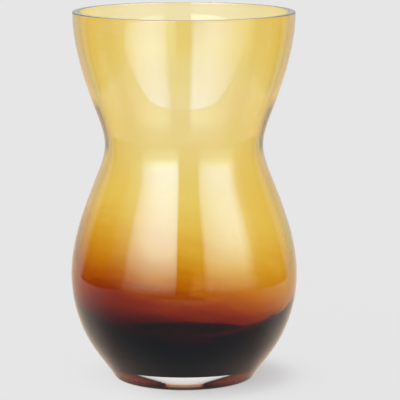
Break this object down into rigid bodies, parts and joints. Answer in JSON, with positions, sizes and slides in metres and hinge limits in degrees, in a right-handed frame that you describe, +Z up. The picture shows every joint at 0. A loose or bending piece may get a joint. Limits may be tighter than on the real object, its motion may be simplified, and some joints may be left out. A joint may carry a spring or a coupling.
{
  "type": "gourd vase",
  "caption": "Waisted gourd vase of cased blown glass: a clear outer casing with a heavy clear base, a dark umber cup inside it, and a thin amber lining up to a wide, flat round rim.",
  "frame": {"origin": "centre of the flat foot, on the surface the vase stands on", "axes": "+Z up the axis of revolution towards the mouth, -Y towards the viewer and +X to the right"},
  "size_m": [0.1292, 0.1292, 0.21],
  "materials": {
    "clear_glass": "polished, colourless",
    "umber_glass": "polished, dark brown, thinning to a feathered edge",
    "amber_glass": "polished, warm amber yellow"
  },
  "bodies": {
    "root": {"clear_casing": "clear_glass", "umber_cup": "umber_glass", "amber_lining": "amber_glass"}
  },
  "joints": []
}
